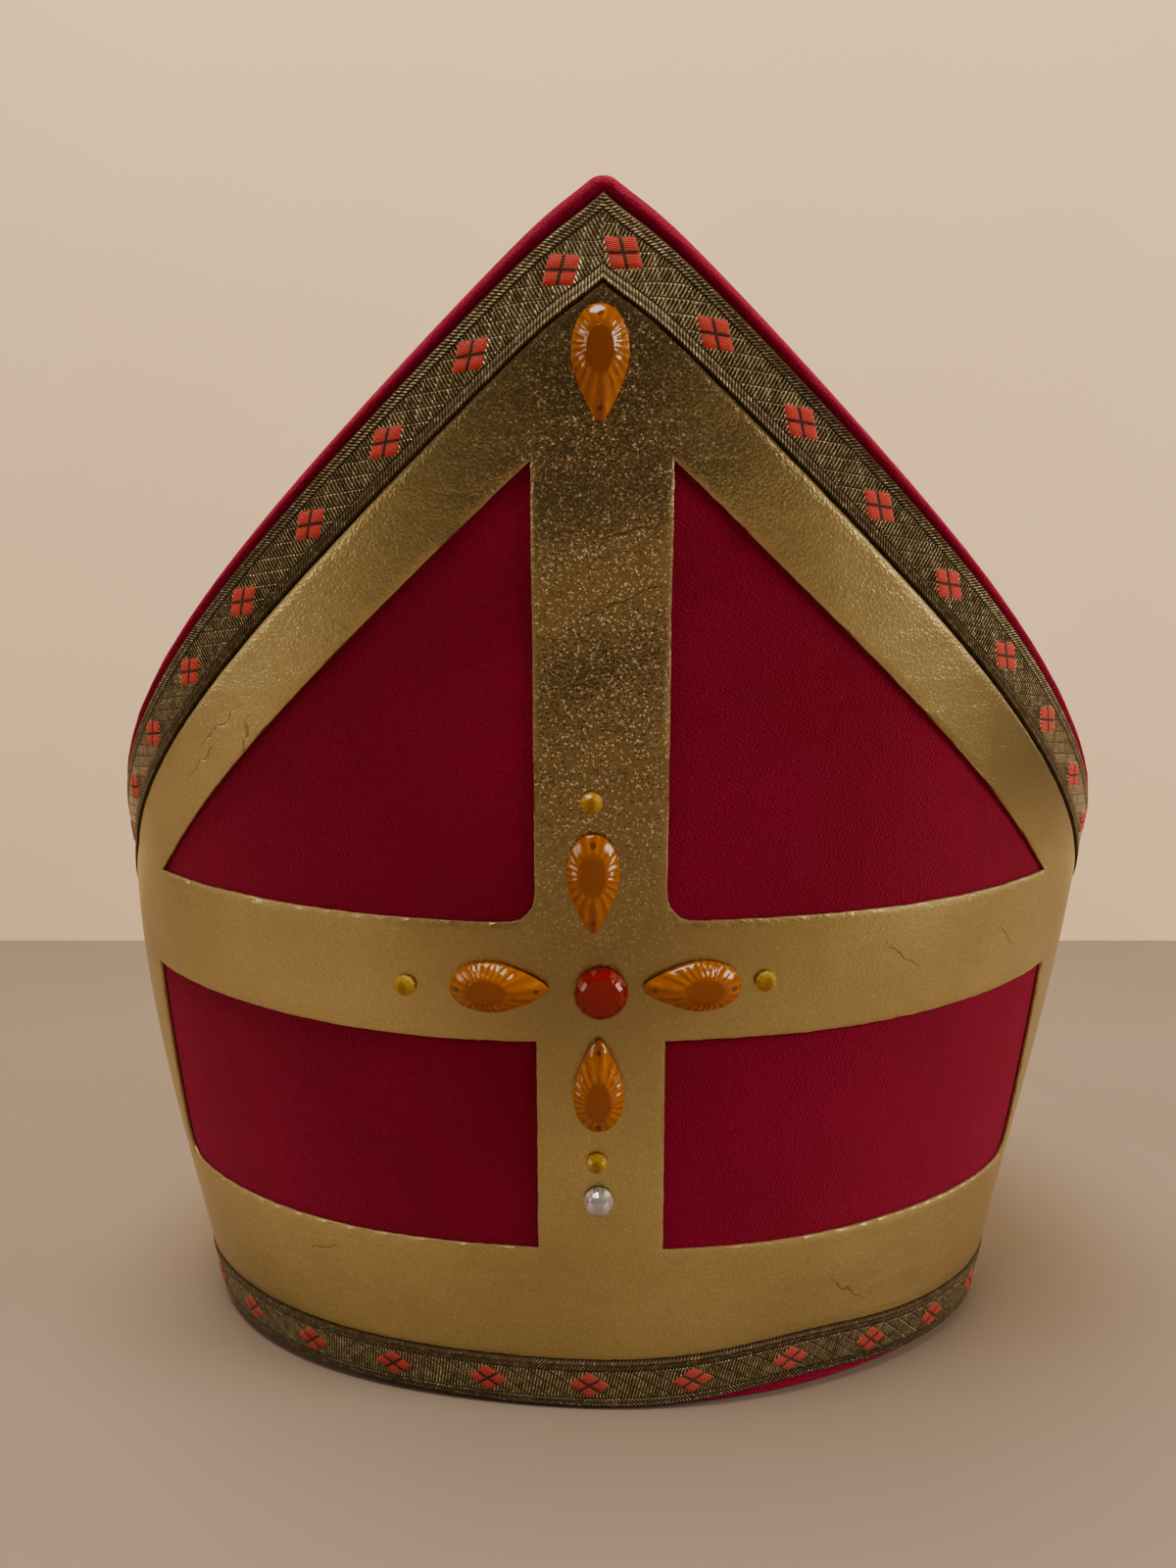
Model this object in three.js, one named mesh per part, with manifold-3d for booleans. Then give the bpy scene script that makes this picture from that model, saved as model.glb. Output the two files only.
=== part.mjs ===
// Bishop mitre: two pointed halves of stiffened velvet joined at the sides, each with a gold
// leatherette cross and frame, woven braid along its edges and hem, glued stones on the front,
// and a cloth web that closes the top between the two peaks.
//
// The halves are cut flat and curved into a ring that widens upwards, so every flat piece is
// drawn as a pattern, scored along the same straight rays and folded round one faceted cone.
// Units are millimetres, +Z is up, -Y is the front, and the origin is the middle of the hem.
import * as THREE from 'three';
import { mergeVertices } from 'three/addons/utils/BufferGeometryUtils.js';
import Module from 'manifold-3d';

const wasm = await Module();
wasm.setup();

// The ring: an ellipse at the hem, widening upwards from a point far below the floor.
const hem = { halfWidth: 112.5, halfDepth: 85, flareDepth: 462 };
const facets = 72;

// The cut pattern of one half, measured up its front centre line from the hem.
const pattern = { peak: 277, edgeSlope: THREE.MathUtils.degToRad(42), peakRadius: 4 };

// Layers, outwards from the velvet's face, and the clearance between any two pieces.
const clearance = 0.3;
const wall = 3;
const goldThickness = 0.8;
const braidThickness = 1.5;

// Widths across the pattern, from the slanted edge inwards.
const velvetMargin = 3;
const braidWidth = 12;
const frameWidth = 17;

// The gold cross and the lines of its four velvet windows.
const cross = { bandHalf: 14.5, armFoot: 94.5, armHead: 122.5, windowFoot: 42.5, windowSide: 132 };
const windowFootSag = 7;
const innerCornerRadius = 7.5;
const outerCornerRadius = 8;

// The hem braid stands a little off the floor and climbs towards the sides.
const hemBraid = { foot: 0.8, climb: 2.7, buttGap: 0.3 };

// The cloth web between the peaks, hung inside the slanted edges.
const web = { thickness: 1.5, drop: 6, creaseMiddle: 150, roundness: 0.15 };
const webRowsPerSide = 6;

// Stones, glued on the front's cross. Along the pattern: across from the centre line and up
// from the hem, in millimetres; turn is the way a pear's point looks, in degrees from down.
const pearSize = { length: 22, width: 11.5, height: 4.5 };
const stones = [
  { name: 'top_pear_stone', form: 'pear', across: -0.5, up: 239.3, turn: 0 },
  { name: 'upper_pear_stone', form: 'pear', across: -1.8, up: 132, turn: 0 },
  { name: 'left_pear_stone', form: 'pear', across: -22.6, up: 107.7, turn: 90 },
  { name: 'right_pear_stone', form: 'pear', across: 20.3, up: 107.7, turn: -90 },
  { name: 'lower_pear_stone', form: 'pear', across: -0.5, up: 84.4, turn: 180 },
  { name: 'centre_round_stone', form: 'round', across: 0, up: 106.5, turn: 0 },
  { name: 'upper_small_stone', form: 'small', across: -2.2, up: 149.9, turn: 0 },
  { name: 'left_small_stone', form: 'small', across: -44.1, up: 106.8, turn: 0 },
  { name: 'right_small_stone', form: 'small', across: 37.2, up: 108, turn: 0 },
  { name: 'lower_small_stone', form: 'small', across: -0.9, up: 65.1, turn: 0 },
  { name: 'pearl', form: 'pearl', across: -0.5, up: 55.6, turn: 0 },
];

const velvet = { color: 0x7d0f22, roughness: 0.95, metalness: 0 };
const goldLeatherette = { color: 0xb58a45, roughness: 0.4, metalness: 0.8 };
const wovenBraid = { color: 0x8a6a35, roughness: 0.55, metalness: 0.5 };
const webCloth = { color: 0x8c1626, roughness: 0.9, metalness: 0 };
const amberAcrylic = { color: 0xb85f08, roughness: 0.1, metalness: 0 };
const rubyAcrylic = { color: 0xa31408, roughness: 0.1, metalness: 0 };
const pearlCoat = { color: 0xd6cfc4, roughness: 0.25, metalness: 0 };

// --- The cone of rays that all flat pieces are folded round ---------------------------------

const coneApex = new THREE.Vector3(0, 0, -hem.flareDepth);

function makeRay(index) {
  const angle = (2 * Math.PI * index) / facets;
  const foot = new THREE.Vector3(hem.halfWidth * Math.sin(angle), -hem.halfDepth * Math.cos(angle), 0);
  const along = foot.sub(coneApex);
  return { slant: along.length(), direction: along.clone().normalize(), spread: 0 };
}

// Rays run from the back centre (first) round by the left side and the front to the back again.
const half = facets / 2;
const rays = [];
for (let i = -half; i <= half; i += 1) rays.push(makeRay(i));
for (let i = half + 1; i < rays.length; i += 1) {
  const turn = rays[i].direction.angleTo(rays[i - 1].direction);
  rays[i].spread = rays[i - 1].spread + turn;
  rays[2 * half - i].spread = -rays[i].spread;
}
const frontSlant = rays[half].slant;

const faces = rays.slice(1).map((ray, i) => {
  return new THREE.Vector3().crossVectors(ray.direction, rays[i].direction).normalize();
});

// The offset at a ray that keeps both neighbouring faces at the same distance.
const mitres = rays.map((ray, i) => {
  const before = faces[(i - 1 + facets) % facets];
  const after = faces[i % facets];
  return before.clone().add(after).divideScalar(1 + before.dot(after));
});

// The pattern point on a ray at a height above the floor.
function onRay(index, height) {
  const ray = rays[index];
  const reach = ray.slant * (1 + height / hem.flareDepth);
  return new THREE.Vector2(reach * Math.sin(ray.spread), reach * Math.cos(ray.spread) - frontSlant);
}

// Where a pattern point lies in space once the pattern is folded, that far out from the velvet.
function fold(point, out) {
  const flat = new THREE.Vector2(point.x, point.y + frontSlant);
  const spread = Math.atan2(flat.x, flat.y);
  const nearest = rays.findIndex((ray) => Math.abs(ray.spread - spread) < 1e-7);
  const next = nearest >= 0 ? Math.max(nearest, 1) : rays.findIndex((ray) => ray.spread > spread);
  const [from, to] = [rays[next - 1], rays[next]];
  const width = Math.sin(to.spread - from.spread);
  const fromShare = (flat.length() * Math.sin(to.spread - spread)) / width;
  const toShare = (flat.length() * Math.sin(spread - from.spread)) / width;
  const place = coneApex.clone();
  place.addScaledVector(from.direction, fromShare).addScaledVector(to.direction, toShare);
  return place.addScaledVector(nearest >= 0 ? mitres[nearest] : faces[next - 1], out);
}

// Splits one flat triangle along a ray.
function splitTriangle(triangle, spread) {
  const sides = triangle.map((p) => {
    const distance = p.x * Math.cos(spread) - (p.y + frontSlant) * Math.sin(spread);
    return Math.abs(distance) < 1e-6 ? 0 : distance;
  });
  if (!sides.some((side) => side < 0) || !sides.some((side) => side > 0)) return [triangle];
  const parts = [[], []];
  for (let i = 0; i < 3; i += 1) {
    const j = (i + 1) % 3;
    if (sides[i] <= 0) parts[0].push(triangle[i]);
    if (sides[i] >= 0) parts[1].push(triangle[i]);
    if (sides[i] * sides[j] < 0) {
      const [low, high] = sides[i] < 0 ? [i, j] : [j, i];
      const cut = triangle[low].clone().lerp(triangle[high], sides[low] / (sides[low] - sides[high]));
      parts[0].push(cut);
      parts[1].push(cut);
    }
  }
  return parts.flatMap((part) => part.slice(2).map((p, i) => [part[0], part[i + 1], p]));
}

const keyOf = (p) => `${p.x},${p.y}`;
const edgeKey = (from, to) => `${keyOf(from)}>${keyOf(to)}`;

function edgesOf(loop) {
  return loop.map((p, i) => [p, loop[(i + 1) % loop.length]]);
}

// The edges that only one of the loops uses: the outline of all of them together.
function freeEdges(loops) {
  const edges = new Map(loops.flatMap(edgesOf).map(([from, to]) => [edgeKey(from, to), [from, to]]));
  return [...edges.values()].filter(([from, to]) => !edges.has(edgeKey(to, from)));
}

function bends(before, p, after) {
  const cross = (p.x - before.x) * (after.y - p.y) - (p.y - before.y) * (after.x - p.x);
  return Math.abs(cross) > 1e-7 * before.distanceTo(p) * p.distanceTo(after);
}

// Joins the triangles of one strip between two rays into plain polygons.
function joinTriangles(triangles) {
  const onwards = new Map(freeEdges(triangles).map(([from, to]) => [keyOf(from), to]));
  const loops = [];
  while (onwards.size > 0) {
    const loop = [];
    let [key] = onwards.keys();
    while (onwards.has(key)) {
      const p = onwards.get(key);
      onwards.delete(key);
      loop.push(p);
      key = keyOf(p);
    }
    loops.push(loop.filter((p, i) => bends(loop.at(i - 1), p, loop[(i + 1) % loop.length])));
  }
  return loops;
}

// Scores a flat shape along the rays: the plain polygons between them, all turning one way.
function scoredPolygons(shape) {
  const { shape: outline, holes } = shape.extractPoints(6);
  const corners = [outline, ...holes].flat();
  let triangles = THREE.ShapeUtils.triangulateShape(outline, holes);
  triangles = triangles.map((triangle) => triangle.map((corner) => corners[corner]));
  triangles = triangles.map((t) => (THREE.ShapeUtils.isClockWise(t) ? t.toReversed() : t));
  for (const ray of rays) triangles = triangles.flatMap((t) => splitTriangle(t, ray.spread));
  const strips = new Map(rays.map((ray) => [ray, []]));
  for (const [a, b, c] of triangles) {
    const middle = Math.atan2(a.x + b.x + c.x, a.y + b.y + c.y + 3 * frontSlant);
    strips.get(rays.find((ray) => ray.spread > middle)).push([a, b, c]);
  }
  return [...strips.values()].flatMap(joinTriangles);
}

// Cuts a flat shape from sheet stock, from inner to outer above the velvet's face, and folds it.
function foldedSheet(shape, inner, outer) {
  const polygons = scoredPolygons(shape);
  const corners = [];
  for (const polygon of polygons) {
    for (const triangle of THREE.ShapeUtils.triangulateShape(polygon, [])) {
      const face = triangle.map((corner) => polygon[corner]);
      if (THREE.ShapeUtils.isClockWise(face)) face.reverse();
      corners.push(...face.map((p) => fold(p, outer)));
      corners.push(...face.toReversed().map((p) => fold(p, inner)));
    }
  }
  for (const [from, to] of freeEdges(polygons)) {
    const [a, b, c, d] = [fold(from, inner), fold(to, inner), fold(to, outer), fold(from, outer)];
    corners.push(a, b, c, a, c, d);
  }
  return closedMesh(corners);
}

// A closed mesh from loose triangle corners, with shared corners merged.
function closedMesh(corners) {
  return mergeVertices(new THREE.BufferGeometry().setFromPoints(corners), 1e-4);
}

function toSolid(geometry) {
  const vertProperties = new Float32Array(geometry.getAttribute('position').array);
  const triVerts = new Uint32Array(geometry.getIndex().array);
  return new wasm.Manifold(new wasm.Mesh({ numProp: 3, vertProperties, triVerts }));
}

function toGeometry(solid) {
  const mesh = solid.getMesh();
  const geometry = new THREE.BufferGeometry();
  geometry.setAttribute('position', new THREE.BufferAttribute(mesh.vertProperties, 3));
  geometry.setIndex(new THREE.BufferAttribute(mesh.triVerts, 1));
  return geometry;
}

function boxSolid(low, high) {
  const size = high.clone().sub(low);
  const middle = low.clone().add(high).multiplyScalar(0.5);
  const box = new THREE.BoxGeometry(size.x, size.y, size.z).translate(middle.x, middle.y, middle.z);
  box.deleteAttribute('normal');
  box.deleteAttribute('uv');
  return toSolid(mergeVertices(box));
}

// The space of the front half: above the level hem and just short of the side seams.
const reachOut = 400;
const frontHalf = boxSolid(
  new THREE.Vector3(-reachOut, -reachOut, 0),
  new THREE.Vector3(reachOut, -clearance / 2, reachOut),
);

function trimToHalf(geometry) {
  return toGeometry(toSolid(geometry).intersect(frontHalf));
}

// --- Patterns ------------------------------------------------------------------------------

// One half's pattern runs a little past its side seams and hem, and is trimmed after folding.
const seamRay = half + facets / 4;
const pastSeam = seamRay + 1;
const belowHem = -2;

// Height on the pattern of a line parallel to the slanted edge, that far inside it.
function slantLine(inset, across) {
  const peak = pattern.peak - inset / Math.cos(pattern.edgeSlope);
  return peak - Math.tan(pattern.edgeSlope) * Math.abs(across);
}

// Where that line crosses a ray.
function slantOnRay(inset, index) {
  const spread = rays[index].spread;
  const peak = frontSlant + slantLine(inset, 0);
  const rise = Math.cos(spread) + Math.tan(pattern.edgeSlope) * Math.sin(Math.abs(spread));
  const reach = peak / rise;
  return new THREE.Vector2(reach * Math.sin(spread), reach * Math.cos(spread) - frontSlant);
}

// Points along the hem at a height that may change from ray to ray, from right to left.
function levelLine(heightAt, first, last) {
  const points = [];
  const step = Math.sign(last - first);
  for (let i = first; i !== last + step; i += step) points.push(onRay(i, heightAt(i)));
  return points;
}

function mirrorRay(index) {
  return 2 * half - index;
}

// A rounded peak: the slanted edges run into one arc.
function roundedPeak(inset, radius) {
  const slope = pattern.edgeSlope;
  const centre = slantLine(inset, 0) - radius / Math.cos(slope);
  const arc = [];
  const steps = 4;
  for (let i = 0; i <= steps; i += 1) {
    const angle = slope * (1 - (2 * i) / steps);
    arc.push(new THREE.Vector2(radius * Math.sin(angle), centre + radius * Math.cos(angle)));
  }
  return arc;
}

function shellGeometry() {
  const outline = levelLine(() => belowHem, mirrorRay(pastSeam), pastSeam);
  outline.push(slantOnRay(0, pastSeam));
  outline.push(...roundedPeak(0, pattern.peakRadius));
  outline.push(slantOnRay(0, mirrorRay(pastSeam)));
  return trimToHalf(foldedSheet(new THREE.Shape(outline), -wall, 0));
}

// The hem braid's foot climbs from the front and back centres towards the side seams.
function hemBraidFoot(index) {
  const angle = (2 * Math.PI * (index - half)) / facets;
  return hemBraid.foot + hemBraid.climb * Math.sin(angle) ** 2;
}

function hemBraidHead(index) {
  return hemBraidFoot(index) + braidWidth;
}

function hemBraidGeometry() {
  const last = 2 * half;
  const outline = levelLine(hemBraidFoot, 0, last);
  outline.push(...levelLine(hemBraidHead, last, 0));
  const ring = foldedSheet(new THREE.Shape(outline), clearance, clearance + braidThickness);
  const butt = new THREE.Vector3(hemBraid.buttGap / 2, hem.halfDepth / 2, -reachOut);
  const joint = boxSolid(new THREE.Vector3(-butt.x, butt.y, butt.z), new THREE.Vector3(butt.x, reachOut, reachOut));
  return toGeometry(toSolid(ring).subtract(joint));
}

function edgeBraidGeometry() {
  const inner = velvetMargin + braidWidth;
  const outline = [slantOnRay(velvetMargin, pastSeam)];
  outline.push(new THREE.Vector2(0, slantLine(velvetMargin, 0)));
  outline.push(slantOnRay(velvetMargin, mirrorRay(pastSeam)));
  outline.push(slantOnRay(inner, mirrorRay(pastSeam)));
  outline.push(new THREE.Vector2(0, slantLine(inner, 0)));
  outline.push(slantOnRay(inner, pastSeam));
  const sheet = foldedSheet(new THREE.Shape(outline), clearance, clearance + braidThickness);
  return trimToHalf(sheet);
}

// Upper window: a triangle under the slanted frame, round at its inner foot.
function upperWindow(side) {
  const inset = velvetMargin + braidWidth + frameWidth;
  const { bandHalf, armHead } = cross;
  const outerTip = (slantLine(inset, 0) - armHead) / Math.tan(pattern.edgeSlope);
  const path = new THREE.Path();
  path.moveTo(side * bandHalf, slantLine(inset, bandHalf));
  path.lineTo(side * outerTip, armHead);
  path.lineTo(side * (bandHalf + innerCornerRadius), armHead);
  path.quadraticCurveTo(side * bandHalf, armHead, side * bandHalf, armHead + innerCornerRadius);
  return path;
}

// Lower window: a panel whose foot bends with the hem, round at its outer foot.
function lowerWindow(side) {
  const { bandHalf, armFoot, windowFoot, windowSide } = cross;
  const footAt = (across) => windowFoot - windowFootSag * (across / windowSide) ** 2;
  const path = new THREE.Path();
  path.moveTo(side * bandHalf, footAt(bandHalf));
  path.lineTo(side * bandHalf, armFoot);
  path.lineTo(side * windowSide, armFoot);
  path.lineTo(side * windowSide, footAt(windowSide) + outerCornerRadius);
  const cornerEnd = windowSide - outerCornerRadius;
  path.quadraticCurveTo(side * windowSide, footAt(windowSide), side * cornerEnd, footAt(cornerEnd));
  const footSteps = 8;
  for (let i = 1; i < footSteps; i += 1) {
    const across = THREE.MathUtils.lerp(cornerEnd, bandHalf, i / footSteps);
    path.lineTo(side * across, footAt(across));
  }
  return path;
}

function goldGeometry() {
  const inset = velvetMargin + braidWidth + clearance;
  const goldFoot = (index) => hemBraidHead(index) + clearance;
  const outline = levelLine(goldFoot, mirrorRay(pastSeam), pastSeam);
  outline.push(slantOnRay(inset, pastSeam));
  outline.push(new THREE.Vector2(0, slantLine(inset, 0)));
  outline.push(slantOnRay(inset, mirrorRay(pastSeam)));
  const shape = new THREE.Shape(outline);
  for (const side of [-1, 1]) shape.holes.push(upperWindow(side), lowerWindow(side));
  return trimToHalf(foldedSheet(shape, clearance, clearance + goldThickness));
}

// --- The web between the peaks ---------------------------------------------------------------

const webEndRay = seamRay - 1;

// Where the web hangs on the inner face of the front half.
function webEdge(index) {
  return fold(slantOnRay(web.drop, index), -(wall + clearance + web.thickness / 2));
}

// One cross-section of the web, from the front half's inner face down to the crease and up to
// the back half's, in the plane of a ray's foot.
function webSection(index) {
  const hung = webEdge(index);
  const end = webEdge(webEndRay);
  const crease = THREE.MathUtils.lerp(web.creaseMiddle, end.z, (hung.x / end.x) ** 2);
  const depth = Math.hypot(1, web.roundness) - web.roundness;
  const section = [];
  for (let row = -webRowsPerSide; row <= webRowsPerSide; row += 1) {
    const out = row / webRowsPerSide;
    const lift = (Math.hypot(out, web.roundness) - web.roundness) / depth;
    section.push(new THREE.Vector3(hung.x, out * -hung.y, THREE.MathUtils.lerp(crease, hung.z, lift)));
  }
  return section;
}

function webGeometry() {
  const columns = [];
  for (let i = mirrorRay(webEndRay); i <= webEndRay; i += 1) columns.push(webSection(i));
  const rows = 2 * webRowsPerSide;
  const skin = (up) => columns.map((column) => column.map((p) => {
    return p.clone().setZ(p.z + (up * web.thickness) / 2);
  }));
  const [top, bottom] = [skin(1), skin(-1)];
  const corners = [];
  const quad = (a, b, c, d) => corners.push(a, b, c, a, c, d);
  for (let i = 0; i + 1 < columns.length; i += 1) {
    for (let j = 0; j < rows; j += 1) {
      quad(top[i][j], top[i + 1][j], top[i + 1][j + 1], top[i][j + 1]);
      quad(bottom[i][j], bottom[i][j + 1], bottom[i + 1][j + 1], bottom[i + 1][j]);
    }
    quad(bottom[i][0], bottom[i + 1][0], top[i + 1][0], top[i][0]);
    quad(top[i][rows], top[i + 1][rows], bottom[i + 1][rows], bottom[i][rows]);
  }
  const end = columns.length - 1;
  for (let j = 0; j < rows; j += 1) {
    quad(top[0][j], top[0][j + 1], bottom[0][j + 1], bottom[0][j]);
    quad(bottom[end][j], bottom[end][j + 1], top[end][j + 1], top[end][j]);
  }
  return closedMesh(corners);
}

// --- Stones --------------------------------------------------------------------------------

// A flat-backed pear with its point down: round head, straight flanks running to the point.
function pearGeometry() {
  const { length, width, height } = pearSize;
  const slope = 1.2;
  const radius = width / 2 - slope;
  const headCentre = length / 2 - slope - radius;
  const point = -length / 2 + 2 * slope;
  const shape = new THREE.Shape();
  shape.moveTo(0, point);
  shape.quadraticCurveTo(radius, (point + headCentre) / 2, radius, headCentre);
  shape.absarc(0, headCentre, radius, 0, Math.PI, false);
  shape.quadraticCurveTo(-radius, (point + headCentre) / 2, 0, point);
  const girdle = 1.5;
  const crown = height - girdle;
  const options = { depth: girdle, bevelThickness: crown, bevelSize: slope, bevelSegments: 2, curveSegments: 6 };
  const stone = new THREE.ExtrudeGeometry(shape, options);
  stone.deleteAttribute('normal');
  stone.deleteAttribute('uv');
  const whole = toSolid(mergeVertices(stone));
  const front = boxSolid(
    new THREE.Vector3(-length, -length, 0),
    new THREE.Vector3(length, length, length),
  );
  return toGeometry(whole.intersect(front));
}

// Turned stones, from the rim of the flat back to the top.
function turnedGeometry(profile, segments) {
  const points = profile.map(([radius, height]) => new THREE.Vector2(radius, height));
  const stone = new THREE.LatheGeometry(points, segments).rotateX(Math.PI / 2);
  stone.deleteAttribute('normal');
  stone.deleteAttribute('uv');
  return mergeVertices(stone);
}

const stoneForms = {
  pear: () => pearGeometry(),
  round: () => turnedGeometry([[0, 0], [6, 0], [6, 1.4], [4.8, 3], [3.2, 3.9], [0, 3.9]], 20),
  small: () => turnedGeometry([[0, 0], [2.5, 0], [2.5, 0.6], [1.5, 1.8], [0, 1.8]], 12),
  pearl: () => turnedGeometry([[0, 0], [3.4, 0], [3.5, 0.8], [3.1, 2.3], [2, 3.4], [0, 3.9]], 16),
};
const stoneFinish = { pear: amberAcrylic, round: rubyAcrylic, small: amberAcrylic, pearl: pearlCoat };

// --- The assembly ----------------------------------------------------------------------------

function piece(name, geometry, finish) {
  const mesh = new THREE.Mesh(geometry, new THREE.MeshStandardMaterial(finish));
  mesh.name = name;
  return mesh;
}

// One half with its cross and edge braid, as seen from its own side.
function mitreHalf(prefix) {
  const group = new THREE.Group();
  group.add(piece(`${prefix}_shell`, shellGeometry(), velvet));
  group.add(piece(`${prefix}_gold_cross`, goldGeometry(), goldLeatherette));
  group.add(piece(`${prefix}_edge_braid`, edgeBraidGeometry(), wovenBraid));
  return group;
}

// A stone lies flat on the gold, its point turned as the table says.
function gluedStone({ name, form, across, up, turn }) {
  const rest = goldThickness + 2 * clearance;
  const place = fold({ x: across, y: up }, rest);
  const above = fold({ x: across, y: up + 1 }, rest);
  const outwards = fold({ x: across, y: up }, rest + 1).sub(place).normalize();
  const upwards = above.sub(place).normalize();
  const sideways = new THREE.Vector3().crossVectors(upwards, outwards);
  const stone = piece(name, stoneForms[form](), stoneFinish[form]);
  stone.setRotationFromMatrix(new THREE.Matrix4().makeBasis(sideways, upwards, outwards));
  stone.rotateZ(THREE.MathUtils.degToRad(turn));
  stone.position.copy(place);
  return stone;
}

const mitre = new THREE.Group();
const back = mitreHalf('back');
back.rotation.z = Math.PI;
mitre.add(mitreHalf('front'), back);
mitre.add(piece('hem_braid', hemBraidGeometry(), wovenBraid));
mitre.add(piece('crown_web', webGeometry(), webCloth));
for (const stone of stones) mitre.add(gluedStone(stone));

export default mitre;
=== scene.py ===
import math

import bpy
import numpy as np
from mathutils import Matrix, Vector, noise


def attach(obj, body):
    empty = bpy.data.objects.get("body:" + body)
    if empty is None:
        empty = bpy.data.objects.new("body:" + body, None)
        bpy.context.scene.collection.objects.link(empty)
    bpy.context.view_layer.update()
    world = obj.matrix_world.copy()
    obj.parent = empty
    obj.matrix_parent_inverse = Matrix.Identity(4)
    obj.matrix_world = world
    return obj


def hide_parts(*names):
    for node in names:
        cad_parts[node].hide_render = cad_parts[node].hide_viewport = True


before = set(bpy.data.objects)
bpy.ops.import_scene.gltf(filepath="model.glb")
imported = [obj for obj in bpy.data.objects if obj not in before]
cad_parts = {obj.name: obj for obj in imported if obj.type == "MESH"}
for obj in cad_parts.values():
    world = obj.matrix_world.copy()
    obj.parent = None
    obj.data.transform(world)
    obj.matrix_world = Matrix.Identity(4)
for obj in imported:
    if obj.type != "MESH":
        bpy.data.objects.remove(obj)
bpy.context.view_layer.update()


# --- The two velvet halves --------------------------------------------------------------------
# A stiffened panel faced with crimson velvet, one for the front and one for the back. The cloth
# is turned over the slanted edges and the hem in a soft roll, and the halves meet at the sides.
HEM_HALF_WIDTH, HEM_HALF_DEPTH = 0.1125, 0.085
FLARE_DEPTH = 0.462
PEAK, PEAK_RADIUS = 0.277, 0.004
SHOULDER = 0.134
SLOPE = math.radians(42)
WALL = 0.003
SEAM_TURN = math.radians(90 - 0.12)
ROLL_WIDTH, ROLL_SWELL, SWELL_WIDTH, ROLL_OVERHANG = 0.0020, 0.0010, 0.0036, 0.0009
RIPPLE, RIPPLE_LENGTH, RIPPLE_WIDTH = 0.00030, 0.0012, 0.004
HEM_ROLL = 0.0012
SHOULDER_HALF_WIDTH, LEFT_PULL, RIGHT_PULL = 0.143, 0.064, 0.026
TIP_PRESS, TIP_REACH, TIP_FOOT, TIP_FADE = 0.0021, 0.009, 0.228, 0.03
HALVES = ("front", "back")


def wall_lines(turn):
    """At a turn from the front: the hem's point, the ray up the wall, and the way outwards."""
    foot = np.stack([HEM_HALF_WIDTH * np.sin(turn), -HEM_HALF_DEPTH * np.cos(turn), 0 * turn], 1)
    along = np.stack([HEM_HALF_WIDTH * np.cos(turn), HEM_HALF_DEPTH * np.sin(turn), 0 * turn], 1)
    ray = foot + [0, 0, FLARE_DEPTH]
    outwards = np.cross(along, ray)
    return foot, ray, outwards / np.linalg.norm(outwards, axis=1)[:, None]


turns = np.radians(np.arange(-96, 96.01, 0.25))
rays = wall_lines(turns)[1]
slants = np.linalg.norm(rays, axis=1)
openings = np.arccos((rays[1:] * rays[:-1]).sum(1) / (slants[1:] * slants[:-1]))
spreads = np.concatenate([[0], np.cumsum(openings)])
spreads -= np.interp(0, turns, spreads)
FRONT_SLANT = math.hypot(HEM_HALF_DEPTH, FLARE_DEPTH)
SEAM_SPREAD = float(np.interp(SEAM_TURN, turns, spreads))


def level_reach(spread, height):
    """How far along a ray of the flat pattern the level line at this height runs."""
    slant = np.interp(np.interp(spread, spreads, turns), turns, slants)
    return slant * (1 + height / FLARE_DEPTH)


def slant_height(inset, across):
    """The height of the line this far inside the slanted edge, on the flat pattern."""
    return PEAK - inset / math.cos(SLOPE) - math.tan(SLOPE) * np.abs(across)


def slant_reach(spread, inset):
    """How far along a ray of the flat pattern that line is."""
    rise = np.cos(spread) + math.tan(SLOPE) * np.sin(np.abs(spread))
    return (FRONT_SLANT + slant_height(inset, 0)) / rise


def inset_at(across, up):
    """How far inside the slanted edge a point of the flat pattern is."""
    return (slant_height(0, across) - up) * math.cos(SLOPE)


def sway(across, up):
    """The stiffened panel isn't quite even: long soft waves and a dent below the peak."""
    spread = np.arctan2(across, up + FRONT_SLANT)
    fade = np.clip(3 * (1 - (spread / SEAM_SPREAD) ** 2), 0, 1)
    waves = 0.0005 * np.sin(across / 0.027 + 0.6) * np.sin(up / 0.036 + 1.1)
    waves += 0.0004 * np.sin(across / 0.016 - up / 0.05)
    dent = -0.0012 * np.exp(-((up - 0.186 - 0.25 * across) / 0.011) ** 2 - (across / 0.03) ** 2)
    fold_above = 0.0009 * np.exp(-((up - 0.207 - 0.2 * across) / 0.010) ** 2 - (across / 0.03) ** 2)
    return fade * (waves + dent + fold_above)


def settled(spots):
    """Worn sides: the shoulders have sunk in over the head opening, the left one more."""
    side, height = spots[:, 0], spots[:, 2]
    rise = np.clip(height / SHOULDER, 0, 1) ** 3.5
    outer = np.clip(np.abs(side) / SHOULDER_HALF_WIDTH, 0, 1.1)
    pull = np.where(side < 0, LEFT_PULL * outer ** 4, RIGHT_PULL * outer ** 7) * rise
    return np.stack([side * (1 - pull), spots[:, 1], height], 1)


def pressed(across, up):
    """The peak's tip is pressed down a little, which opens its angle there."""
    near_tip = np.clip((up - TIP_FOOT) / TIP_FADE, 0, 1)
    return up - TIP_PRESS * np.exp(-(across / TIP_REACH) ** 2) * near_tip


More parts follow.
